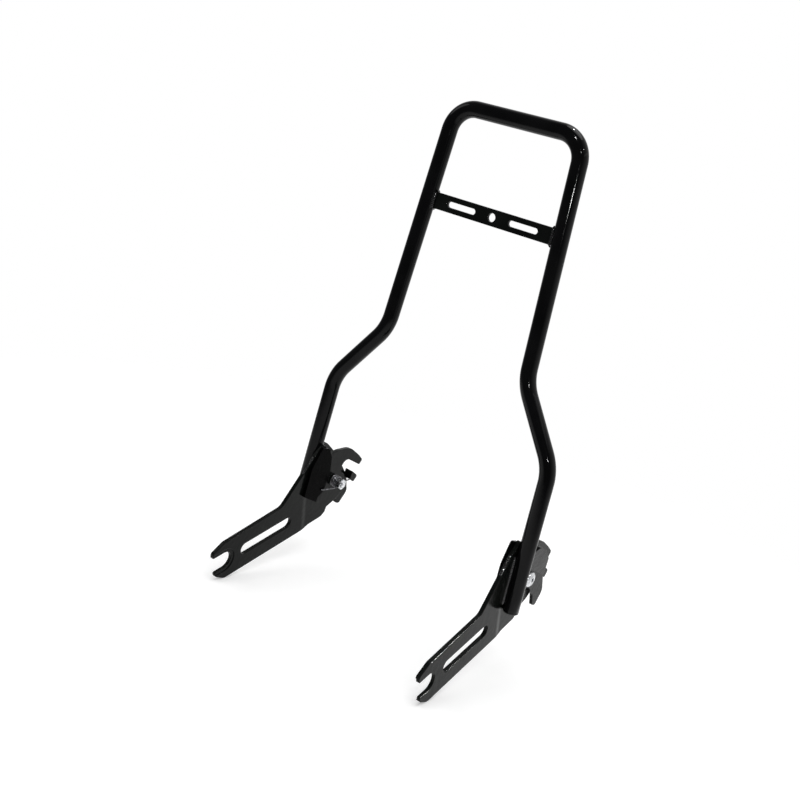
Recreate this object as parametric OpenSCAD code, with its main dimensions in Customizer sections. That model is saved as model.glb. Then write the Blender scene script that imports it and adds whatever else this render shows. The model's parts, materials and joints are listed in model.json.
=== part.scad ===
// Detachable motorcycle sissy bar: a bent tube hoop on two hooked side plates.
// Millimetres. X across the bike, +Y to the rear, +Z up along the hoop.
// The origin is the middle of the axis through the two front notches.

/* [Hoop tube] */
// Outside diameter of the tube
tube_d = 19; // [16:0.5:24]
// Wall of the tube
tube_wall = 2; // [1.5:0.1:3]
// Distance of the hoop's plane behind the front notches
hoop_back = 139.3; // [125:1:155]
// Height of the upper bends above the front notches
waist_h = 308.1; // [280:1:360]
// Height of the top corners above the upper bends
crown_h = 271.8; // [220:1:340]
// Width between the tube's centre lines at the top corners
crown_w = 166; // [150:1:190]
// Width between the tube's centre lines at the upper bends
waist_w = 197; // [180:1:215]
// Height of the slanted stretch between the upper and lower bends
flare_drop = 81; // [70:1:100]
// Height of the tube's open ends above the front notches
foot_h = 52.5; // [45:0.5:60]
// Lean of each lower leg and side plate, in degrees
leg_splay = 1.98; // [0:0.1:3]
// Centre-line radius of the two top bends
crown_bend_r = 30; // [26:1:45]
// Centre-line radius of the four side bends
leg_bend_r = 60; // [40:1:62]

/* [Side plates] */
// Thickness of the side plates
plate_t = 5; // [4:0.5:6]
// Width between the side plates' inner faces at the front notches
plate_gap = 298.9; // [280:1:320]
// Slope of the arm, in degrees
arm_slope = 16.5; // [12:0.5:20]
// Arm's lower edge below the notch axis
arm_below = 26.5; // [24:0.5:30]
// Arm's upper edge above the notch axis, at the fork
arm_above = 26.3; // [24:0.5:30]
// Radius of the front notch
notch_r = 11.4; // [9:0.1:12]
// Width of the coined lead-in round the front notch
coin_w = 4.6; // [3:0.1:5.2]
// Depth of the coined lead-in into the plate's inner face
coin_depth = 0.9; // [0.5:0.1:1.2]
// Distance of the long slot's middle behind the notch
slot_back = 71.6; // [66:0.5:76]
// Length of the long slot between its end centres
slot_run = 73; // [50:1:78]
// Width of the long slot
slot_w = 15.8; // [10:0.2:18]

/* [Rear hook] */
// Distance of the jaw's centre behind the notch axis
jaw_back = 200.1; // [196:0.5:206]
// Height of the jaw's centre above the notch axis
jaw_up = 97.6; // [94:0.5:102]
// Radius of the jaw
jaw_r = 10; // [8:0.1:10.5]
// Thickness of the doubler on the plate's inner face
doubler_t = 4.5; // [3:0.5:6]

/* [Latch] */
// Distance of the latch pivot behind the notch axis
pivot_back = 178.3; // [176:0.5:181]
// Height of the latch pivot above the notch axis
pivot_up = 81.6; // [79:0.5:84]
// Thickness of the latch lever
latch_t = 4; // [3:0.5:5]
// Lean of the thumb pad away from the plate, in degrees
pad_flare = 26.5; // [15:0.5:30]
// Diameter of the pivot bolt's shoulder
shoulder_d = 10; // [8:0.5:12]
// Diameter of the pivot bolt's thread
thread_d = 8; // [6:0.5:8]
// Radius of the pivot bolt's head
head_r = 9.5; // [8:0.5:10]
// Height of the pivot bolt's head
head_h = 4.6; // [3.5:0.1:6]
// Thickness of the washer between latch and plate
washer_t = 0.7; // [0.5:0.1:1.5]
// Radial clearance of the latch on its bolt
pivot_play = 0.05; // [0.03:0.01:0.1]
// Diameter of the spring wire
wire_d = 1.8; // [1.2:0.1:2.2]
// Turns in the spring
spring_turns = 4; // [3:1:5]

/* [Cross strap] */
// Height of the strap's middle above the upper bends
strap_up = 162.5; // [130:1:190]
// Height of the strap
strap_h = 19; // [16:0.5:25]
// Thickness of the strap
strap_t = 4; // [3:0.5:6]
// Diameter of the strap's middle hole
strap_hole_d = 10; // [6:0.5:12]
// Distance of each strap slot from the middle
strap_slot_x = 41.3; // [36:0.5:46]
// Length of each strap slot between its end centres
strap_slot_run = 31.7; // [20:0.5:34]
// Width of each strap slot
strap_slot_w = 6.8; // [5:0.2:9]

/* [Hidden] */
SIDES = ["left", "right"];
$fn = 64;

tube_r = tube_d / 2;
bore_r = tube_r - tube_wall;
weld_gap = 0.02;
bend_lap = 0.4;
bend_swell = 0.03;
face_gap = 0.1;
cut_past = 1;
far = 700;

// Lower leg: its axis lies outside the plate, and its side touches the plate's outer face.
plate_mid_x = plate_gap / 2 + plate_t / 2 / cos(leg_splay);
leg_off = tube_r + plate_t / 2;
function leg_x(h) = plate_mid_x + leg_off / cos(leg_splay) - h * tan(leg_splay);
lower_bend_h = waist_h - flare_drop;
top_h = waist_h + crown_h;
foot = [leg_x(foot_h), foot_h];
lower_bend = [leg_x(lower_bend_h), lower_bend_h];
waist = [waist_w / 2, waist_h];
crown = [crown_w / 2, top_h];
function mirrored(p) = [-p[0], p[1]];

// Corners of the centre line with their bend radii, from the right foot to the left.
hoop_path = [
    [foot, 0], [lower_bend, leg_bend_r], [waist, leg_bend_r], [crown, crown_bend_r],
    [mirrored(crown), crown_bend_r], [mirrored(waist), leg_bend_r],
    [mirrored(lower_bend), leg_bend_r], [mirrored(foot), 0]
];

function unit(v) = v / norm(v);
function heading(a, b) = atan2(b[1] - a[1], b[0] - a[0]);
function wrap(a) = a > 180 ? a - 360 : a < -180 ? a + 360 : a;
function turn_at(path, i) =
    wrap(heading(path[i][0], path[i + 1][0]) - heading(path[i - 1][0], path[i][0]));
function run_out(path, i) =
    i == 0 || i == len(path) - 1 ? 0 : path[i][1] * tan(abs(turn_at(path, i)) / 2);

// A round tube along a flat path. Each straight laps into its bends, whose wall is a hair thicker.
// The seams of all the stretches lie on one side of the path.
module tube_along(path, r, bore) {
    last = len(path) - 2;
    for (i = [0 : last]) {
        a = path[i][0];
        b = path[i + 1][0];
        from = run_out(path, i) - (i > 0 ? bend_lap : 0);
        to = run_out(path, i + 1) - (i < last ? bend_lap : 0);
        start = a + unit(b - a) * from;
        translate([start[0], start[1], 0])
            rotate([0, 0, heading(a, b)])
                rotate([0, 90, 0])
                    linear_extrude(norm(b - a) - from - to) tube_section(r, bore);
    }
    for (i = [1 : last]) {
        turn = turn_at(path, i);
        come = heading(path[i - 1][0], path[i][0]);
        side = turn > 0 ? 90 : -90;
        bend_r = path[i][1];
        start = path[i][0] - unit(path[i][0] - path[i - 1][0]) * run_out(path, i);
        centre = start + bend_r * [cos(come + side), sin(come + side)];
        translate([centre[0], centre[1], 0])
            rotate([0, 0, come - side + min(turn, 0)])
                rotate_extrude(angle = abs(turn))
                    translate([bend_r, 0])
                        rotate(-90) tube_section(r + bend_swell, bore - bend_swell);
    }
}

module tube_section(r, bore) {
    difference() {
        circle(r);
        circle(bore);
    }
}

// A flat outline with each corner [y, z, radius] rounded by an arc of short chords.
arc_step = 7;
function corner(pts, i) = [pts[i][0], pts[i][1]];
function before(pts, i) = corner(pts, (i + len(pts) - 1) % len(pts));
function after(pts, i) = corner(pts, (i + 1) % len(pts));
function turn_of(pts, i) =
    wrap(heading(corner(pts, i), after(pts, i)) - heading(before(pts, i), corner(pts, i)));
function arc_points(pts, i) =
    let (
        turn = turn_of(pts, i),
        come = heading(before(pts, i), corner(pts, i)),
        side = turn > 0 ? 90 : -90,
        run = pts[i][2] * tan(abs(turn) / 2),
        start = corner(pts, i) - run * [cos(come), sin(come)],
        centre = start + pts[i][2] * [cos(come + side), sin(come + side)],
        steps = ceil(abs(turn) / arc_step)
    )
    pts[i][2] == 0 ? [corner(pts, i)] : [
        for (k = [0 : steps])
            let (a = come - side + turn * k / steps)
                centre + pts[i][2] * [cos(a), sin(a)]
    ];

module rounded_outline(pts) {
    polygon([for (i = [0 : len(pts) - 1]) each arc_points(pts, i)]);
}

// Slot along the first axis, with true round ends.
module slot_outline(run, width) {
    square([run, width], center = true);
    for (end = [-1, 1]) translate([end * run / 2, 0]) circle(width / 2);
}

// Side frame: x is measured outward from the lower leg's axis, y and z as in the part.
module on_side(side) {
    mirror([side == "left" ? 1 : 0, 0, 0])
        translate([plate_mid_x, 0, 0])
            rotate([0, -leg_splay, 0])
                translate([leg_off, 0, 0])
                    children();
}

// A flat outline in y and z, as a sheet from x to x + t.
module sheet(x, t) {
    translate([x, 0, 0]) rotate([90, 0, 90]) linear_extrude(t) children();
}

// A round post along x at a place [y, z], from x to x + h.
module post(at, x, h, r) {
    translate([x, at[0], at[1]]) rotate([0, 90, 0]) cylinder(h = h, r = r);
}

plate_out = -tube_r;
plate_in = plate_out - plate_t;
doubler_in = plate_in - doubler_t;
jaw = [jaw_back, jaw_up];
pivot = [pivot_back, pivot_up];
mouth_dip = 22;

function arm_pt(u, n, r) = [
    u * cos(arm_slope) - n * sin(arm_slope),
    u * sin(arm_slope) + n * cos(arm_slope), r];
function at_leg(y, z, r) = [hoop_back + y, z, r];
function at_pivot(y, z, r) = [pivot_back + y, pivot_up + z, r];

// A place in the jaw's own frame: out along its mouth and up across it.
function at_mouth(out, up, r) = [
    jaw_back + out * cos(mouth_dip) + up * sin(mouth_dip),
    jaw_up - out * sin(mouth_dip) + up * cos(mouth_dip), r];

// Outline of the side plate, counter-clockwise from the inside of the fork. The sides of the
// notch and the jaw cross their circles a hair inside the tangent.
fork_low = 14.4;
fork_high = 18.4;
arm_end = 138;
side_step = 0.01;
notch_side = notch_r - side_step;
jaw_side = jaw_r - side_step;
plate_outline = [
    arm_pt(0, notch_side, 0),
    arm_pt(0, -notch_side, 0),
    arm_pt(-fork_low, -notch_side, 1.5),
    arm_pt(-fork_low, -notch_r - 5.5, 5),
    arm_pt(0, -arm_below, 12),
    arm_pt(arm_end, -arm_below, 3),
    at_leg(11.2, 20.3, 4),
    at_leg(35.3, 27.9, 5),
    at_leg(41, 33.7, 3),
    at_leg(41.8, 41.2, 2),
    at_leg(58, 50, 8),
    at_leg(68.5, 60.5, 7),
    at_leg(69.5, 70, 5),
    at_mouth(9.2, -13.1, 1.5),
    at_mouth(0.15 * jaw_r, -0.9 * jaw_r, 0),
    at_mouth(0, jaw_side, 0),
    at_mouth(28.3, jaw_side, 2),
    at_mouth(29.9, jaw_r + 8.1, 3),
    at_mouth(16.2, jaw_r + 11.4, 20),
    at_mouth(-11.1, jaw_r + 14.8, 28),
    at_mouth(-34.9, jaw_r + 4.4, 20),
    at_mouth(-47.3, jaw_r - 3.7, 5),
    at_leg(-1, 136.5, 5),
    at_leg(-15, 120, 20),
    arm_pt(97.5, 29.6, 12),
    arm_pt(0, arm_above, 10),
    arm_pt(-fork_high, arm_above - 7.6, 4),
    arm_pt(-fork_high, notch_side, 2)
];

module side_plate_outline() {
    difference() {
        rounded_outline(plate_outline);
        circle(notch_r);
        translate(jaw) circle(jaw_r);
        rotate(arm_slope) translate([slot_back, 0]) slot_outline(slot_run, slot_w);
    }
}

// Coined lead-in: a shallow U round the notch, open to the front.
module coin_outline() {
    circle(notch_r + coin_w);
    translate([-far, -notch_r - coin_w]) square([far, 2 * (notch_r + coin_w)]);
}

// The outline is cut straight across the bike, so both notches share one axis.
module side_plate(side) {
    color("dimgray")
        difference() {
            intersection() {
                on_side(side) translate([plate_in, -far / 2, -far / 2]) cube([plate_t, far, far]);
                mirror([side == "left" ? 1 : 0, 0, 0])
                    sheet(plate_gap / 4, plate_gap / 2) side_plate_outline();
            }
            on_side(side) {
                post(pivot, plate_in - cut_past, plate_t + 2 * cut_past,
                    shoulder_d / 2 + face_gap);
                sheet(plate_in - cut_past, cut_past + coin_depth)
                    rotate(arm_slope) coin_outline();
            }
        }
}

// Doubler on the plate's inner face, centred on the leg.
doubler_outline = [
    at_leg(-20, 67, 2),
    at_leg(9, 55.4, 1.5),
    at_leg(9.5, 62.5, 2),
    at_leg(17.5, 69, 4),
    at_leg(22.5, 94, 30),
    at_leg(15.5, 119, 12),
    at_leg(6, 131.5, 4),
    at_leg(-8.5, 134.5, 4),
    at_leg(-20, 108, 30)
];

module doubler(side) {
    color("#101211") on_side(side)
        sheet(doubler_in, doubler_t) rounded_outline(doubler_outline);
}

// Weld beads between the leg and the plate's outer face, before and behind the leg.
plate_bead_r = 3.4;
plate_bead_y = 6.4;
plate_bead_low = 58;
plate_bead_len = 60;

module plate_weld(side) {
    color("black") on_side(side)
        for (way = [-1, 1])
            translate([0, hoop_back, plate_bead_low])
                difference() {
                    translate([plate_out, way * plate_bead_y, 0])
                        cylinder(h = plate_bead_len, r = plate_bead_r);
                    translate([plate_out - far + weld_gap, -far / 2, -cut_past])
                        cube([far, far, plate_bead_len + 2 * cut_past]);
                    translate([0, 0, -cut_past])
                        cylinder(h = plate_bead_len + 2 * cut_past, r = tube_r + weld_gap);
                }
}

module tube_plug(side) {
    plug_in = 12;
    plug_cap = 1.6;
    color("black") on_side(side)
        translate([0, hoop_back, (foot_h - leg_off * sin(leg_splay)) / cos(leg_splay)])
            rotate_extrude()
                polygon([
                    [0, -plug_cap], [tube_r - 1, -plug_cap], [tube_r - 0.2, -plug_cap / 2],
                    [tube_r - 0.2, -face_gap], [bore_r - face_gap, -face_gap],
                    [bore_r - face_gap, plug_in - 1], [bore_r - 1, plug_in], [0, plug_in]
                ]);
}

module hoop() {
    color("black")
        translate([0, hoop_back, 0])
            rotate([90, 0, 0])
                tube_along(hoop_path, tube_r, bore_r);
}

// Cross strap, coped to the upper legs.
strap_z = waist_h + strap_up;
upper_lean = atan((waist_w - crown_w) / 2 / crown_h);
function upper_leg_x(h) = waist_w / 2 - (h - waist_h) * tan(upper_lean);

module upper_leg(side, r) {
    mirror([side == "left" ? 1 : 0, 0, 0])
        translate([upper_leg_x(strap_z), hoop_back, strap_z])
            rotate([0, -upper_lean, 0])
                translate([0, 0, -2 * strap_h]) cylinder(h = 4 * strap_h, r = r);
}

module cross_strap() {
    reach = upper_leg_x(strap_z);
    color("black")
        difference() {
            translate([-reach, hoop_back - strap_t / 2, strap_z - strap_h / 2])
                cube([2 * reach, strap_t, strap_h]);
            for (side = SIDES) upper_leg(side, tube_r + weld_gap);
            translate([0, hoop_back + strap_t, strap_z]) rotate([90, 0, 0])
                linear_extrude(2 * strap_t) {
                    circle(strap_hole_d / 2);
                    for (way = [-1, 1])
                        translate([way * strap_slot_x, 0])
                            slot_outline(strap_slot_run, strap_slot_w);
                }
        }
}

// Weld beads round each end of the strap: along both faces and over both edges.
strap_bead_r = 3;
edge_bead_r = 2.6;

module strap_weld(side) {
    bead_y = strap_t / 2 + 1;
    bead_x = sqrt(pow(tube_r, 2) - pow(bead_y, 2));
    color("black")
        for (way = [-1, 1]) {
            difference() {
                mirror([side == "left" ? 1 : 0, 0, 0])
                    translate([upper_leg_x(strap_z), hoop_back, strap_z])
                        rotate([0, -upper_lean, 0])
                            translate([-bead_x, way * bead_y, -strap_h / 2])
                                cylinder(h = strap_h, r = strap_bead_r);
                upper_leg(side, tube_r + weld_gap);
                translate([-far / 2, hoop_back - (way > 0 ? far : 0), 0])
                    translate([0, way * (strap_t / 2 + weld_gap), 0])
                        cube([far, far, 2 * far]);
            }
            edge_bead(side, way);
        }
}

module edge_bead(side, way) {
    edge_z = strap_z + way * strap_h / 2;
    difference() {
        mirror([side == "left" ? 1 : 0, 0, 0])
            translate([upper_leg_x(edge_z) - tube_r, hoop_back + strap_t / 2, edge_z])
                rotate([90, 0, 0]) cylinder(h = strap_t, r = edge_bead_r);
        upper_leg(side, tube_r + weld_gap);
        translate([-far / 2, 0, strap_z + way * weld_gap - strap_h / 2])
            cube([far, far, strap_h]);
    }
}

// Latch: flat where it swings, then bent outward into a thumb pad.
latch_in = plate_out + washer_t + face_gap;
latch_out = latch_in + latch_t;
boss_r = 12;
lug_past = 2.5;
lug_sunk = 0.5;
flare_from = head_r + 1.6;

latch_outline = [
    at_pivot(-9.5, -8.5, 9),
    at_pivot(6, -12.5, 8),
    at_pivot(24, -27, 10),
    at_pivot(30.5, -42, 3),
    at_pivot(38.5, -44, 4),
    at_pivot(49.5, -27, 9),
    at_pivot(38.5, -3, 30),
    at_pivot(30.5, 8.5, 20),
    at_pivot(17, 27, 30),
    at_pivot(-6.5, 44.5, 5),
    at_pivot(-26.5, 52.5, 6),
    at_pivot(-26.5, 25, 12)
];
lug_corner = [36.5, -4];
lug_outline = [
    at_pivot(lug_corner[0], lug_corner[1], 1.5),
    at_pivot(45.5, -9, 2),
    at_pivot(51.5, -0.5, 3),
    at_pivot(37, 8, 1.5)
];

module bent_latch_sheet() {
    rise = 60;
    corner_in = latch_t * tan(pad_flare / 2);
    lift = rise * tan(pad_flare);
    // Section across the bend, in distance past the bend and outward x.
    translate([0, pivot[0], pivot[1]])
        rotate([-mouth_dip, 0, 0])
            translate([0, 0, flare_from])
                rotate([90, 0, 0])
                    linear_extrude(far, center = true)
                        polygon([
                            [latch_in, -far / 2], [latch_out, -far / 2], [latch_out, 0],
                            [latch_out + lift, rise],
                            [latch_in + lift - corner_in * tan(pad_flare), rise],
                            [latch_in, corner_in]
                        ]);
}

module latch(side) {
    color("gray") on_side(side)
        difference() {
            union() {
                intersection() {
                    sheet(latch_in - cut_past, far) {
                        rounded_outline(latch_outline);
                        translate(pivot) circle(boss_r);
                    }
                    bent_latch_sheet();
                }
                sheet(plate_in - lug_past, latch_out - lug_sunk - plate_in + lug_past)
                    rounded_outline(lug_outline);
            }
            post(pivot, latch_in - cut_past, latch_t + 2 * cut_past,
                shoulder_d / 2 + pivot_play);
        }
}

module pivot_bolt(side) {
    head_x = latch_out + face_gap;
    thread_end = bush_in - nut_t - 2;
    color("silver") on_side(side)
        translate([0, pivot[0], pivot[1]])
            rotate([0, 90, 0])
                difference() {
                    rotate_extrude()
                        polygon([
                            [0, thread_end], [thread_d / 2 - 0.8, thread_end],
                            [thread_d / 2, thread_end + 0.8], [thread_d / 2, plate_in + face_gap],
                            [shoulder_d / 2, plate_in + face_gap], [shoulder_d / 2, head_x],
                            [head_r, head_x], [head_r, head_x + head_h * 0.35],
                            [head_r * 0.93, head_x + head_h * 0.62],
                            [head_r * 0.76, head_x + head_h * 0.86],
                            [head_r * 0.5, head_x + head_h], [0, head_x + head_h]
                        ]);
                    translate([0, 0, head_x + head_h - 2.6]) cylinder(h = 10, r = 2.9, $fn = 6);
                }
}

module ring(x, t, inner, outer) {
    translate([x, pivot[0], pivot[1]])
        rotate([0, 90, 0])
            difference() {
                cylinder(h = t, r = outer);
                translate([0, 0, -cut_past]) cylinder(h = t + 2 * cut_past, r = inner);
            }
}

module pivot_washer(side) {
    color("silver") on_side(side)
        ring(plate_out, washer_t, shoulder_d / 2 + face_gap, head_r);
}

// Inner end of the pivot: a bush carries the spring's coil and the nut clamps it.
bush_wall = 1.6;
bush_r = thread_d / 2 + face_gap + bush_wall;
spring_end_play = 0.5;
coil_pitch = wire_d + 0.12;
bush_len = spring_turns * coil_pitch + wire_d + 2 * spring_end_play;
bush_in = plate_in - bush_len;
nut_t = 6.5;
nut_r = 7.5;

module spring_bush(side) {
    color("silver") on_side(side)
        ring(bush_in, bush_len, thread_d / 2 + face_gap, bush_r);
}

module pivot_nut(side) {
    color("silver") on_side(side)
        translate([bush_in - nut_t, pivot[0], pivot[1]])
            rotate([0, 90, 0])
                difference() {
                    cylinder(h = nut_t, r = nut_r, $fn = 6);
                    translate([0, 0, -cut_past])
                        cylinder(h = nut_t + 2 * cut_past, r = thread_d / 2 + weld_gap);
                }
}

// Torsion spring: a helix about the pivot. One leg ends under the lug, the other lies along
// the doubler's inner face.
wire_r = wire_d / 2;
coil_r = bush_r + 0.4 + wire_r;
steps_per_turn = 18;
ring_sides = 8;
leg_steps = 3;
spring_x = plate_in - spring_end_play - wire_r;
lug_leg_drop = coil_r - wire_r - face_gap;
lug_leg_rise = atan2(lug_corner[1], lug_corner[0]) + asin(lug_leg_drop / norm(lug_corner));
lug_leg_angle = lug_leg_rise - 90;
lug_leg_len = sqrt(pow(norm(lug_corner), 2) - pow(lug_leg_drop, 2));
coil_count = spring_turns * steps_per_turn;
coil_turn = 360 * spring_turns;
function coil_point(t) = [
    spring_x - t * spring_turns * coil_pitch,
    coil_r * cos(lug_leg_angle - t * coil_turn),
    coil_r * sin(lug_leg_angle - t * coil_turn)];
function coil_way(t) = [
    0, sin(lug_leg_angle - t * coil_turn), -cos(lug_leg_angle - t * coil_turn)];
anchor_knee = 8;
anchor_leg_len = 28;
anchor_x = doubler_in - 0.3 - wire_r;
function anchor_point(run) =
    coil_point(1) + coil_way(1) * run
    + [(anchor_x - coil_point(1)[0]) * max(run - anchor_knee, 0) / (anchor_leg_len - anchor_knee), 0, 0];
spring_line = concat(
    [for (i = [leg_steps : -1 : 1]) coil_point(0) - coil_way(0) * lug_leg_len * i / leg_steps],
    [for (i = [0 : coil_count]) coil_point(i / coil_count)],
    [for (run = [anchor_knee / 2, anchor_knee, anchor_leg_len]) anchor_point(run)]
);

function line_way(line, i) =
    unit(line[min(i + 1, len(line) - 1)] - line[max(i - 1, 0)]);

// A round wire swept along a line of points that never runs along x.
module wire(line, r) {
    count = len(line);
    rings = [
        for (i = [0 : count - 1])
            let (way = line_way(line, i), a = unit(cross(way, [1, 0, 0])), b = cross(way, a))
                for (k = [0 : ring_sides - 1])
                    line[i] + r * (a * cos(360 * k / ring_sides) + b * sin(360 * k / ring_sides))
    ];
    walls = [
        for (i = [0 : count - 2], k = [0 : ring_sides - 1])
            let (next = (k + 1) % ring_sides)
                [i * ring_sides + k, i * ring_sides + next,
                 (i + 1) * ring_sides + next, (i + 1) * ring_sides + k]
    ];
    first = [for (k = [ring_sides - 1 : -1 : 0]) k];
    last = [for (k = [0 : ring_sides - 1]) (count - 1) * ring_sides + k];
    polyhedron(points = rings, faces = concat([first], walls, [last]));
}

module latch_spring(side) {
    color("silver") on_side(side)
        translate([0, pivot[0], pivot[1]]) wire(spring_line, wire_r);
}

hoop();
cross_strap();
for (side = SIDES) {
    side_plate(side);
    doubler(side);
    plate_weld(side);
    strap_weld(side);
    tube_plug(side);
    latch(side);
    pivot_bolt(side);
    pivot_washer(side);
    spring_bush(side);
    pivot_nut(side);
    latch_spring(side);
}
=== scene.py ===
"""Looks of a detachable motorcycle sissy bar, in gloss black with bright latch hardware."""
import json
import math

import bpy
from mathutils import Matrix, Vector


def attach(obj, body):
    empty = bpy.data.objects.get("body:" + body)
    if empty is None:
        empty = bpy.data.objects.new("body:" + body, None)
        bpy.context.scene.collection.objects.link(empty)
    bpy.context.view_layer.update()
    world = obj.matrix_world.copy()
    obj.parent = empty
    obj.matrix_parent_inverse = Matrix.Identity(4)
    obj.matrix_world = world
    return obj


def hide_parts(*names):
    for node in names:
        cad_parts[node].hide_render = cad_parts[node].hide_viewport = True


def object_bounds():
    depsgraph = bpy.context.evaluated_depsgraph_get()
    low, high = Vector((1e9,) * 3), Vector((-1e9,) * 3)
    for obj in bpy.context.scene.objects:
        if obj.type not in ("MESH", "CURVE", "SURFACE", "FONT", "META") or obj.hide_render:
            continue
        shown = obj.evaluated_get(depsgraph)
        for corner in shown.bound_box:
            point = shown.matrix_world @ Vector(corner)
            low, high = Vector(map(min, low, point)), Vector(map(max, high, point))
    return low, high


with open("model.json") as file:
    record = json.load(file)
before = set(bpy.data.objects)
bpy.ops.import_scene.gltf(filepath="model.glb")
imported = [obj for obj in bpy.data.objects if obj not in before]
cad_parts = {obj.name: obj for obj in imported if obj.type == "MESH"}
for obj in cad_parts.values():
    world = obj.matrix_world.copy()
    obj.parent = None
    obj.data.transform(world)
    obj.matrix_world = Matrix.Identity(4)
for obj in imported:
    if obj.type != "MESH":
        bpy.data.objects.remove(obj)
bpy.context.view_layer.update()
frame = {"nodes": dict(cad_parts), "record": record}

SIDES = ("left", "right")

# Camera, in metres in the row frame.
CAMERA_PLACE = (0.5895, -0.9220, 0.5540)
CAMERA_RIGHT = (0.79147, 0.55713, 0.25138)
CAMERA_DOWN = (0.34834, -0.07322, -0.93450)
CAMERA_AHEAD = (-0.50223, 0.82719, -0.25202)
LENS = 47.79
SENSOR = 36.0


def add_camera():
    data = bpy.data.cameras.new("photo_camera")
    data.sensor_width = SENSOR
    data.lens = LENS
    data.clip_start = 0.01
    data.clip_end = 50.0
    cam = bpy.data.objects.new("photo_camera", data)
    bpy.context.scene.collection.objects.link(cam)
    axes = (Vector(CAMERA_RIGHT), -Vector(CAMERA_DOWN), -Vector(CAMERA_AHEAD))
    turn = Matrix([[axes[c][r] for c in range(3)] for r in range(3)]).to_quaternion()
    cam.matrix_world = Matrix.Translation(CAMERA_PLACE) @ turn.to_matrix().to_4x4()
    bpy.context.scene.camera = cam


class Nodes:
    """Short helpers for one node tree."""

    def __init__(self, tree):
        self.tree = tree

    def add(self, kind, **values):
        node = self.tree.nodes.new(kind)
        for name, value in values.items():
            setattr(node, name, value)
        return node

    def link(self, source, target):
        self.tree.links.new(source, target)

    def place(self, coordinates="Object"):
        return self.add("ShaderNodeTexCoord").outputs[coordinates]

    def noise(self, vector, scale, detail, stretch=None):
        if stretch is not None:
            mapping = self.add("ShaderNodeMapping")
            mapping.inputs["Scale"].default_value = stretch
            self.link(vector, mapping.inputs["Vector"])
            vector = mapping.outputs["Vector"]
        node = self.add("ShaderNodeTexNoise")
        node.inputs["Scale"].default_value = scale
        node.inputs["Detail"].default_value = detail
        self.link(vector, node.inputs["Vector"])
        return node.outputs["Fac"]

    def spread(self, value, low, high, start=0.35, stop=0.65, curve="LINEAR"):
        """A value stretched from start and stop to low and high. The defaults suit noise."""
        node = self.add("ShaderNodeMapRange", interpolation_type=curve)
        node.inputs["From Min"].default_value = start
        node.inputs["From Max"].default_value = stop
        node.inputs["To Min"].default_value = low
        node.inputs["To Max"].default_value = high
        self.link(value, node.inputs["Value"])
        return node.outputs["Result"]

    def blend(self, factor, first, second):
        node = self.add("ShaderNodeMix", data_type="RGBA")
        node.inputs["A"].default_value = (*first, 1)
        node.inputs["B"].default_value = (*second, 1)
        self.link(factor, node.inputs["Factor"])
        return node.outputs["Result"]

    def ripples(self, vector, period, wander):
        """Wavy bands across Z, as the scales of a weld bead, with the period in metres."""
        node = self.add("ShaderNodeTexWave", bands_direction="Z", wave_profile="SIN")
        node.inputs["Scale"].default_value = math.pi / 10 / period
        node.inputs["Distortion"].default_value = wander
        node.inputs["Detail"].default_value = 1.0
        node.inputs["Detail Scale"].default_value = 4.0
        self.link(vector, node.inputs["Vector"])
        return node.outputs["Fac"]

    def bump(self, height, normal, distance, strength=1.0):
        node = self.add("ShaderNodeBump")
        node.inputs["Strength"].default_value = strength
        node.inputs["Distance"].default_value = distance
        self.link(height, node.inputs["Height"])
        self.link(normal, node.inputs["Normal"])
        return node.outputs["Normal"]

    def edge(self, radius):
        """Normals that round off the edges."""
        node = self.add("ShaderNodeBevel", samples=6)
        node.inputs["Radius"].default_value = radius
        return node.outputs["Normal"]

    def either(self, first, second):
        node = self.add("ShaderNodeMath", operation="MAXIMUM")
        self.link(first, node.inputs[0])
        self.link(second, node.inputs[1])
        return node.outputs[0]

    def white(self, strength=1.0):
        node = self.add("ShaderNodeBackground")
        node.inputs["Strength"].default_value = strength
        node.inputs["Color"].default_value = (1, 1, 1, 1)
        return node.outputs[0]

    def mix(self, factor, first, second):
        node = self.add("ShaderNodeMixShader")
        self.link(factor, node.inputs[0])
        self.link(first, node.inputs[1])
        self.link(second, node.inputs[2])
        return node.outputs[0]


def new_material(name):
    material = bpy.data.materials.new(name)
    material.use_nodes = True
    tree = Nodes(material.node_tree)
    shader = material.node_tree.nodes["Principled BSDF"]
    return material, tree, shader


def dress(tree, shader, tone, colours, gloss, rough, normal):
    """Links a tone between two colours, a roughness between two values, and the bumps."""
    tree.link(tree.blend(tree.spread(tone, 0.0, 1.0), *colours), shader.inputs["Base Color"])
    tree.link(tree.spread(gloss, *rough), shader.inputs["Roughness"])
    tree.link(normal, shader.inputs["Normal"])


# A faint fold line across each arm: the arm's slope and the line's distance from the notch axis.
ARM_SLOPE = math.radians(16.5)
FOLD_BACK = 0.140
FOLD_HEIGHT = 0.0008
FOLD_WIDTH = 0.0055


def fold_height(tree, place):
    along = tree.add("ShaderNodeVectorMath", operation="DOT_PRODUCT")
    along.inputs[1].default_value = (0, math.cos(ARM_SLOPE), math.sin(ARM_SLOPE))
    tree.link(place, along.inputs[0])
    return tree.spread(along.outputs["Value"], 1.0, 0.0, start=FOLD_BACK - FOLD_WIDTH,
                       stop=FOLD_BACK + FOLD_WIDTH, curve="SMOOTHERSTEP")


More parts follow.
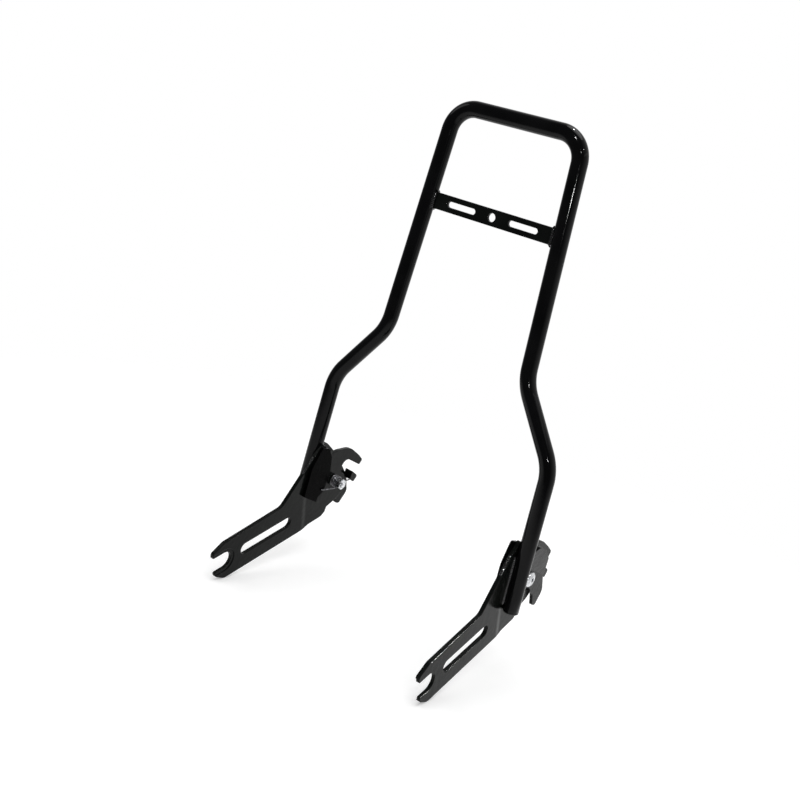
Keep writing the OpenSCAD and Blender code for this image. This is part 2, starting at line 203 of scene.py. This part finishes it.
def paint(name, colours, rough, specular, peel=0.00003, edge=0.0006, fold=False):
    """Powder coat: cloudy tone, uneven gloss, orange peel and softened edges."""
    material, tree, shader = new_material(name)
    place = tree.place()
    cloud = tree.noise(place, scale=22.0, detail=4.0)
    smudge = tree.noise(place, scale=60.0, detail=5.0)
    waves = tree.noise(place, scale=160.0, detail=1.0)
    grain = tree.noise(place, scale=620.0, detail=2.0)
    shader.inputs["Specular IOR Level"].default_value = specular
    normal = tree.bump(waves, tree.edge(edge), distance=peel * 3)
    normal = tree.bump(grain, normal, distance=peel)
    if fold:
        normal = tree.bump(fold_height(tree, place), normal, distance=FOLD_HEIGHT)
    dress(tree, shader, cloud, colours, smudge, rough, normal)
    return material


def weld(name, colours, rough, specular):
    """The same coat over the ripples of a bead."""
    material, tree, shader = new_material(name)
    place = tree.place()
    cloud = tree.noise(place, scale=90.0, detail=3.0)
    grain = tree.noise(place, scale=500.0, detail=2.0)
    ripples = tree.ripples(place, period=0.0021, wander=1.4)
    shader.inputs["Specular IOR Level"].default_value = specular
    normal = tree.bump(ripples, tree.edge(0.0008), distance=0.0002)
    normal = tree.bump(grain, normal, distance=0.0001)
    dress(tree, shader, cloud, colours, cloud, rough, normal)
    return material


def metal(name, colours, rough, grain):
    """Bright plated or drawn steel with fine lines and slight tarnish."""
    material, tree, shader = new_material(name)
    place = tree.place()
    tarnish = tree.noise(place, scale=260.0, detail=4.0)
    lines = tree.noise(place, scale=900.0, detail=2.0, stretch=grain)
    shader.inputs["Metallic"].default_value = 1.0
    normal = tree.bump(lines, tree.edge(0.0003), distance=0.00001, strength=0.6)
    dress(tree, shader, tarnish, colours, lines, rough, normal)
    return material


def plastic(name, colours, rough):
    """Moulded plug with a fine grained skin."""
    material, tree, shader = new_material(name)
    place = tree.place()
    cloud = tree.noise(place, scale=120.0, detail=3.0)
    grain = tree.noise(place, scale=1500.0, detail=2.0)
    normal = tree.bump(grain, tree.edge(0.0005), distance=0.00006, strength=0.6)
    dress(tree, shader, cloud, colours, cloud, rough, normal)
    return material


def make_materials():
    return {
        "tube_paint": paint("tube_paint", ((0.0014, 0.0014, 0.0016), (0.0034, 0.0034, 0.0037)),
                            rough=(0.05, 0.10), specular=0.125, peel=0.00001),
        "black_paint": paint("black_paint", ((0.0022, 0.0027, 0.0024), (0.0050, 0.0058, 0.0052)),
                             rough=(0.13, 0.24), specular=0.075, peel=0.00005, edge=0.0014,
                             fold=True),
        # Painted shade: the doubler gets the black coat made darker and almost without gloss, so it
        # renders black under any light, standing in for the shade and dark reflection on it.
        "doubler_paint": paint("doubler_paint",
                               ((0.0006, 0.0006, 0.0006), (0.0014, 0.0014, 0.0014)),
                               rough=(0.22, 0.34), specular=0.01),
        "latch_paint": paint("latch_paint", ((0.0028, 0.0031, 0.0030), (0.0058, 0.0062, 0.0060)),
                             rough=(0.16, 0.28), specular=0.085, peel=0.00005),
        "weld_paint": weld("weld_paint", ((0.0016, 0.0016, 0.0017), (0.004, 0.004, 0.0042)),
                           rough=(0.06, 0.16), specular=0.55),
        "plug_plastic": plastic("plug_plastic", ((0.004, 0.004, 0.004), (0.008, 0.008, 0.008)),
                                rough=(0.42, 0.6)),
        "zinc_steel": metal("zinc_steel", ((0.42, 0.43, 0.44), (0.74, 0.75, 0.77)),
                            rough=(0.16, 0.32), grain=(1.0, 0.15, 1.0)),
        "spring_steel": metal("spring_steel", ((0.07, 0.07, 0.074), (0.19, 0.19, 0.20)),
                              rough=(0.18, 0.34), grain=(0.2, 1.0, 1.0)),
    }


def dress_nodes(materials):
    for part in frame["record"]["subparts"]:
        node = frame["nodes"][part["node"]]
        material = materials[part["material_slot"]]
        if not node.material_slots:
            node.data.materials.append(material)
        for slot in node.material_slots:
            slot.material = material


# Sizes repeated from the CAD source, in metres.
HOOP_BACK = 0.1393
TUBE_R = 0.0095
BORE_R = 0.0075
LEG_SPLAY = math.radians(1.98)
PLATE_GAP = 0.2989
PLATE_T = 0.005
PLATE_MID_X = PLATE_GAP / 2 + PLATE_T / 2 / math.cos(LEG_SPLAY)
LEG_OFF = TUBE_R + PLATE_T / 2
PIVOT = (0.1783, 0.0816)


def leg_x(height):
    return PLATE_MID_X + LEG_OFF / math.cos(LEG_SPLAY) - height * math.tan(LEG_SPLAY)


# Corners of the hoop's centre line as x, z and bend radius, from the right foot to the crown.
HALF_HOOP = [(leg_x(0.0525), 0.0525, 0), (leg_x(0.2271), 0.2271, 0.060),
             (0.0985, 0.3081, 0.060), (0.083, 0.5799, 0.030)]


def on_side(side, x, y, z):
    """A point of the side frame, whose x is measured outward from the leg's axis."""
    out = PLATE_MID_X + (LEG_OFF + x) * math.cos(LEG_SPLAY) - z * math.sin(LEG_SPLAY)
    up = (LEG_OFF + x) * math.sin(LEG_SPLAY) + z * math.cos(LEG_SPLAY)
    return Vector((-out if side == "left" else out, y, up))


def outward(side):
    return (on_side(side, 1, 0, 0) - on_side(side, 0, 0, 0)).normalized()


def add_piece(name, points, faces, material, body="frame", nodes=()):
    mesh = bpy.data.meshes.new(name)
    mesh.from_pydata(points, [], faces)
    mesh.validate()
    for face in mesh.polygons:
        face.use_smooth = True
    mesh.materials.append(material)
    piece = bpy.data.objects.new(name, mesh)
    bpy.context.scene.collection.objects.link(piece)
    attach(piece, body)
    if nodes:
        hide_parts(*nodes)
    return piece


def swept_rings(line, radii, sides, up):
    """Rings of points round a line, with up as the first direction of each ring."""
    rings = []
    for i, point in enumerate(line):
        way = (line[min(i + 1, len(line) - 1)] - line[max(i - 1, 0)]).normalized()
        first = (up - up.dot(way) * way).normalized()
        second = way.cross(first)
        rings.append([point + radii[i] * (first * math.cos(2 * math.pi * k / sides)
                                          + second * math.sin(2 * math.pi * k / sides))
                      for k in range(sides)])
    return rings


def walls(count, sides, start=0, closed=False, inward=False):
    """Quads between neighbouring rings."""
    faces = []
    for i in range(count if closed else count - 1):
        for k in range(sides):
            a = start + i * sides + k
            b = start + i * sides + (k + 1) % sides
            c = start + (i + 1) % count * sides + (k + 1) % sides
            d = start + (i + 1) % count * sides + k
            faces.append((a, d, c, b) if inward else (a, b, c, d))
    return faces


def add_rod(points, faces, line, radii, sides, up):
    """Adds a rod with flat ends to the points and faces."""
    start = len(points)
    for ring in swept_rings(line, radii, sides, up):
        points += ring
    last = len(points) - sides
    faces += walls(len(line), sides, start)
    faces += [tuple(range(start, start + sides))[::-1], tuple(range(last, last + sides))]


def break_ends(line, radius, step):
    """Adds a point to each end of the line and gives its radii, smaller by step at the ends."""
    line.insert(1, line[0] + (line[1] - line[0]).normalized() * step)
    line.insert(-1, line[-1] + (line[-2] - line[-1]).normalized() * step)
    return [radius - step] + [radius] * (len(line) - 2) + [radius - step]


HOOP_SIDES = 72
HOOP_RIM = 0.0006
ARC_STEP = math.radians(2.5)
RUN_STEP = 0.02


def straight_run(start, end):
    """Even points from start to end, without the start."""
    steps = max(1, round((end - start).length / RUN_STEP))
    return [start + (end - start) * k / steps for k in range(1, steps + 1)]


def hoop_line():
    """The tube's centre line, with straight runs and true arcs at the corners."""
    corners = HALF_HOOP + [(-x, z, r) for x, z, r in reversed(HALF_HOOP)]
    flat = [Vector((x, z)) for x, z, _ in corners]
    line = [flat[0]]
    for i in range(1, len(flat) - 1):
        radius = corners[i][2]
        come = (flat[i] - flat[i - 1]).normalized()
        leave = (flat[i + 1] - flat[i]).normalized()
        turn = -come.angle_signed(leave)
        run = radius * math.tan(abs(turn) / 2)
        start = flat[i] - come * run
        line += straight_run(line[-1], start)
        hand = 1 if turn > 0 else -1
        centre = start + Vector((-come.y, come.x)) * hand * radius
        arm = start - centre
        steps = max(2, math.ceil(abs(turn) / ARC_STEP))
        for k in range(1, steps + 1):
            a = turn * k / steps
            line.append(centre + Vector((arm.x * math.cos(a) - arm.y * math.sin(a),
                                         arm.x * math.sin(a) + arm.y * math.cos(a))))
    line += straight_run(line[-1], flat[-1])
    return [Vector((p.x, HOOP_BACK, p.y)) for p in line]


def add_hoop(material):
    """The hoop as one smooth hollow tube with rounded rims at its open ends."""
    line = hoop_line()
    radii = break_ends(line, TUBE_R, HOOP_RIM)
    up = Vector((0, 1, 0))
    outer = swept_rings(line, radii, HOOP_SIDES, up)
    inner = swept_rings(line, [BORE_R] * len(line), HOOP_SIDES, up)
    rings = outer + inner[::-1]
    points = [p for ring in rings for p in ring]
    add_piece("hoop_tube", points, walls(len(rings), HOOP_SIDES, closed=True), material,
              nodes=("hoop",))


# The spring's wire, coil and legs, in the side frame and measured from the pivot.
WIRE_R = 0.0009
WIRE_SIDES = 16
WIRE_BREAK = 0.0003
COIL_R = 0.0070
COIL_PITCH = 0.00192
COIL_TURNS = 4
COIL_STEPS = 40 * COIL_TURNS
COIL_X = -0.0159
LEG_START = math.radians(-86.85)
LUG_LEG = 0.03623
LUG_STEPS = 12
ANCHOR_KNEE = 0.008
ANCHOR_LEG = 0.028
ANCHOR_STEPS = 14
ANCHOR_X = -0.0202


def coil_point(t):
    """A point of the coil, with t from 0 at its start to 1 at its end."""
    a = LEG_START - t * 2 * math.pi * COIL_TURNS
    return Vector((COIL_X - t * COIL_TURNS * COIL_PITCH, COIL_R * math.cos(a),
                   COIL_R * math.sin(a)))


def coil_way(t):
    """The direction of the wire there, square to the pivot's axis."""
    a = LEG_START - t * 2 * math.pi * COIL_TURNS
    return Vector((0, math.sin(a), -math.cos(a)))


def spring_line():
    """The wire's centre line: a leg to the lug, the coil, and a leg to the doubler."""
    line = [coil_point(0) - coil_way(0) * LUG_LEG * k / LUG_STEPS
            for k in range(LUG_STEPS, 0, -1)]
    line += [coil_point(k / COIL_STEPS) for k in range(COIL_STEPS + 1)]
    shift = ANCHOR_X - coil_point(1).x
    for k in range(1, ANCHOR_STEPS + 1):
        run = ANCHOR_LEG * k / ANCHOR_STEPS
        slant = max(0.0, run - ANCHOR_KNEE) / (ANCHOR_LEG - ANCHOR_KNEE)
        line.append(coil_point(1) + coil_way(1) * run + Vector((shift * slant, 0, 0)))
    return line


def add_spring(side, material):
    """One round wire, with its ends broken."""
    line = [on_side(side, p.x, PIVOT[0] + p.y, PIVOT[1] + p.z) for p in spring_line()]
    radii = break_ends(line, WIRE_R, WIRE_BREAK)
    points, faces = [], []
    add_rod(points, faces, line, radii, WIRE_SIDES, outward(side))
    add_piece(f"{side}_spring_wire", points, faces, material,
              body=f"{side}_lever", nodes=(f"{side}_latch_spring",))


NUT_T = 0.0065
NUT_CORNER_R = 0.0075
NUT_BORE_R = 0.0040
NUT_SIDES = 96
NUT_LAND = 0.95
NUT_CHAMFER = math.radians(30)
NUT_SHARP = math.radians(25)
BUSH_IN = -0.02498


def add_nut(side, material):
    """A hexagon nut with chamfered corners, two of them along the z axis as on the CAD node."""
    flat_r = NUT_CORNER_R * math.cos(math.pi / 6)
    land_r = flat_r * NUT_LAND
    rings = []
    for x, inward in ((BUSH_IN - NUT_T, 1), (BUSH_IN, -1)):
        bore, land, corner = [], [], []
        for k in range(NUT_SIDES):
            a = 2 * math.pi * k / NUT_SIDES
            y, z = math.sin(a), math.cos(a)
            r = flat_r / math.cos(a % (math.pi / 3) - math.pi / 6)
            drop = (r - land_r) * math.tan(NUT_CHAMFER) * inward
            bore.append((x, NUT_BORE_R * y, NUT_BORE_R * z))
            land.append((x, land_r * y, land_r * z))
            corner.append((x + drop, r * y, r * z))
        rings += [bore, land, corner] if inward > 0 else [corner, land, bore]
    points = [on_side(side, x, PIVOT[0] + y, PIVOT[1] + z) for ring in rings for x, y, z in ring]
    faces = walls(len(rings), NUT_SIDES, closed=True, inward=side == "right")
    piece = add_piece(f"{side}_hex_nut", points, faces, material,
                      nodes=(f"{side}_pivot_nut",))
    piece.data.set_sharp_from_angle(angle=NUT_SHARP)


# The weld run on a plate's front edge: its ends as y and z, then each scale's half width,
# half length and height, how deep it sinks as an angle, and how its size wanders.
EDGE_BEAD_LOW = (0.1118, 0.0997)
EDGE_BEAD_HIGH = (0.1236, 0.1189)
EDGE_BEAD_X = -0.0120
EDGE_BEAD_SCALES = 9
EDGE_BEAD_SIZE = (0.0021, 0.0017, 0.0009)
EDGE_BEAD_SINK = 0.35
EDGE_BEAD_UNEVEN = 0.16
EDGE_BEAD_BEAT = 2.3
SCALE_SIDES = 20
SCALE_ROWS = 6


def add_edge_bead(side, material):
    """A short weld run on the plate's front edge: overlapping low scales."""
    low, high = Vector(EDGE_BEAD_LOW), Vector(EDGE_BEAD_HIGH)
    along = (high - low).normalized()
    out = Vector((-along.y, along.x))
    half_width, half_length, rise = EDGE_BEAD_SIZE
    points, faces = [], []
    for n in range(EDGE_BEAD_SCALES):
        middle = low + (high - low) * n / (EDGE_BEAD_SCALES - 1)
        size = 1 - EDGE_BEAD_UNEVEN * abs(math.sin(n * EDGE_BEAD_BEAT))
        start = len(points)
        for row in range(SCALE_ROWS):
            lift = math.pi / 2 * row / SCALE_ROWS - EDGE_BEAD_SINK
            for k in range(SCALE_SIDES):
                a = 2 * math.pi * k / SCALE_SIDES
                across = half_width * math.cos(lift) * math.cos(a) * size
                run = half_length * math.cos(lift) * math.sin(a) * size
                height = rise * math.sin(lift) * size
                place = middle + along * run + out * height
                points.append(on_side(side, EDGE_BEAD_X + across, place.x, place.y))
        top = middle + out * rise * size
        points.append(on_side(side, EDGE_BEAD_X, top.x, top.y))
        faces += walls(SCALE_ROWS, SCALE_SIDES, start)
        last = start + (SCALE_ROWS - 1) * SCALE_SIDES
        faces += [(last + k, last + (k + 1) % SCALE_SIDES, len(points) - 1)
                  for k in range(SCALE_SIDES)]
        faces.append(tuple(range(start, start + SCALE_SIDES))[::-1])
    if side == "left":
        faces = [face[::-1] for face in faces]
    return add_piece(f"{side}_edge_bead", points, faces, material)


# The two weld runs between a leg and its plate, and their overlapping scales.
PLATE_FACE_X = -0.0095
BEAD_R = 0.0034
BEAD_Y = 0.0064
BEAD_LOW = 0.058
BEAD_LEN = 0.060
BEAD_SIDES = 24
BEAD_SCALES = 27
BEAD_STEPS = 5
BEAD_DROP = 0.00045
BEAD_UNEVEN = 0.07
BEAD_BEAT = 1.9
BEAD_END = 0.4


def add_plate_bead(side, material):
    """Two runs of overlapping weld scales between the leg and the plate."""
    points, faces = [], []
    for way in (-1, 1):
        line, radii = [], []
        for n in range(BEAD_SCALES * BEAD_STEPS + 1):
            scale, part = divmod(n, BEAD_STEPS)
            run = BEAD_LEN * n / (BEAD_SCALES * BEAD_STEPS)
            size = 1 - BEAD_UNEVEN * abs(math.sin(scale * BEAD_BEAT + way))
            near_end = min(run, BEAD_LEN - run, BEAD_R) / BEAD_R
            taper = max(BEAD_END, math.sqrt(1 - (1 - near_end) ** 2))
            line.append(on_side(side, PLATE_FACE_X, HOOP_BACK + way * BEAD_Y, BEAD_LOW + run))
            radii.append((BEAD_R * size - BEAD_DROP * (part / BEAD_STEPS) ** 2) * taper)
        add_rod(points, faces, line, radii, BEAD_SIDES, outward(side))
    add_piece(f"{side}_plate_bead", points, faces, material,
              nodes=(f"{side}_plate_weld",))


ROOM_FRONT = (0.13, 0.13, 0.135)
ROOM_REAR = (1.0, 1.0, 1.0)
ROOM_AHEAD = (0.25, 0.95, -0.1)
ROOM_CHANGE = (-0.25, 0.55)
ROOM_LIGHT = 0.75


def add_world():
    """White behind the object, a darker room in front of it, and an even light on all sides."""
    world = bpy.data.worlds.new("studio")
    bpy.context.scene.world = world
    world.use_nodes = True
    tree = Nodes(world.node_tree)
    world.node_tree.nodes.clear()
    ahead = tree.add("ShaderNodeVectorMath", operation="DOT_PRODUCT")
    ahead.inputs[1].default_value = Vector(ROOM_AHEAD).normalized()
    tree.link(tree.place("Generated"), ahead.inputs[0])
    rear = tree.spread(ahead.outputs["Value"], 0.0, 1.0, *ROOM_CHANGE)
    room = tree.add("ShaderNodeBackground")
    tree.link(tree.blend(rear, ROOM_FRONT, ROOM_REAR), room.inputs["Color"])
    rays = tree.add("ShaderNodeLightPath").outputs
    lit = tree.mix(rays["Is Glossy Ray"], tree.white(ROOM_LIGHT), room.outputs[0])
    seen = tree.either(rays["Is Camera Ray"], rays["Is Transmission Ray"])
    out = tree.add("ShaderNodeOutputWorld")
    tree.link(tree.mix(seen, lit, tree.white()), out.inputs["Surface"])


FLOOR_REACH = 1.1
FLOOR_SIDES = 48
FLOOR_GAP = 0.0005
FLOOR_TONES = ((0.86, 0.86, 0.86), (0.90, 0.90, 0.90))
FLOOR_FADE = (0.45, 1.0)
FLOOR_LIFT = 0.24


def floor_material():
    """Pale floor that fades out into the white background and keeps its shadow."""
    material, tree, shader = new_material("floor")
    material.node_tree.nodes.remove(shader)
    place = tree.place()
    far = tree.add("ShaderNodeVectorMath", operation="LENGTH")
    tree.link(place, far.inputs[0])
    solid = tree.spread(far.outputs["Value"], 1.0, 0.0, *FLOOR_FADE, curve="SMOOTHSTEP")
    matt = tree.add("ShaderNodeBsdfDiffuse")
    grain = tree.noise(place, scale=14.0, detail=4.0)
    tree.link(tree.blend(grain, *FLOOR_TONES), matt.inputs["Color"])
    rays = tree.add("ShaderNodeLightPath").outputs
    amount = tree.add("ShaderNodeMath", operation="MULTIPLY")
    amount.inputs[1].default_value = FLOOR_LIFT
    tree.link(tree.either(rays["Is Camera Ray"], rays["Is Glossy Ray"]), amount.inputs[0])
    lift = tree.add("ShaderNodeEmission")
    tree.link(amount.outputs[0], lift.inputs["Strength"])
    both = tree.add("ShaderNodeAddShader")
    tree.link(matt.outputs[0], both.inputs[0])
    tree.link(lift.outputs[0], both.inputs[1])
    clear = tree.add("ShaderNodeBsdfTransparent")
    out = material.node_tree.nodes["Material Output"]
    tree.link(tree.mix(solid, clear.outputs[0], both.outputs[0]), out.inputs["Surface"])
    return material


def add_floor():
    low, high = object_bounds()
    centre = (low + high) / 2
    mesh = bpy.data.meshes.new("floor")
    rim = [(FLOOR_REACH * math.cos(2 * math.pi * i / FLOOR_SIDES),
            FLOOR_REACH * math.sin(2 * math.pi * i / FLOOR_SIDES), 0) for i in range(FLOOR_SIDES)]
    mesh.from_pydata(rim, [], [list(range(FLOOR_SIDES))])
    floor = bpy.data.objects.new("floor", mesh)
    floor.location = (centre.x, centre.y, low.z - FLOOR_GAP)
    bpy.context.scene.collection.objects.link(floor)
    mesh.materials.append(floor_material())


# Points that the lamps face.
MIDDLE = (0.05, 0.12, 0.30)
TOP_CORNER = (0.08, 0.13, 0.57)
ARM_FRONT = (0.154, 0.01, 0.02)
BEAD_TARGET = (0.0, 0.118, 0.11)


def add_lamp(name, place, power, size, width=None, target=MIDDLE, gloss_only=False, reaches=()):
    """An area lamp. A gloss-only lamp is a bright reflection, on the pieces it reaches if given."""
    data = bpy.data.lights.new(name, "AREA")
    data.shape = "DISK" if width is None else "RECTANGLE"
    data.size = size
    if width is not None:
        data.size_y = width
    data.energy = power
    lamp = bpy.data.objects.new(name, data)
    lamp.location = place
    lamp.rotation_euler = (Vector(place) - Vector(target)).to_track_quat("Z", "Y").to_euler()
    lamp.visible_diffuse = not gloss_only
    bpy.context.scene.collection.objects.link(lamp)
    if reaches:
        group = bpy.data.collections.new(name + "_reaches")
        for piece in reaches:
            group.objects.link(piece)
        lamp.light_linking.receiver_collection = group


# Small lamps that make the bright dots on the hoop's top corner: place, power and size.
GLINTS = {
    "near_camera": ((0.90, -0.87, 0.55), 3.0, 0.06),
    "over_camera": ((0.709, -0.875, 1.103), 2.1, 0.06),
    "front_high": ((0.188, -0.805, 1.473), 5.6, 0.08),
    "right_high": ((1.054, -0.152, 1.39), 3.5, 0.07),
    "top_rear": ((0.02, 0.406, 1.855), 7.0, 0.10),
}


def add_lights(edge_beads):
    add_lamp("overhead", (0.2, 0.4, 2.0), power=12.0, size=1.2)
    add_lamp("left_fill", (-1.2, -0.3, 1.2), power=2.0, size=0.7)
    add_lamp("right_strip", (1.31, 0.44, 1.22), power=0.4, size=1.5, width=0.10, gloss_only=True)
    add_lamp("arm_edge", (1.06, 0.65, 0.776), power=110.0, size=0.06, width=0.45,
             target=ARM_FRONT, gloss_only=True, reaches=[frame["nodes"]["right_side_plate"]])
    add_lamp("bead_speck", (0.75, -0.60, 1.20), power=140.0, size=0.22,
             target=BEAD_TARGET, gloss_only=True, reaches=edge_beads)
    for name, (place, power, size) in GLINTS.items():
        add_lamp(name, place, power, size, target=TOP_CORNER, gloss_only=True)


bpy.context.scene.view_settings.view_transform = "Standard"
add_camera()
materials = make_materials()
dress_nodes(materials)
add_hoop(materials["tube_paint"])
edge_beads = [add_edge_bead(side, materials["weld_paint"]) for side in SIDES]
for side in SIDES:
    add_spring(side, materials["spring_steel"])
    add_nut(side, materials["zinc_steel"])
    add_plate_bead(side, materials["weld_paint"])
add_world()
add_floor()
add_lights(edge_beads)
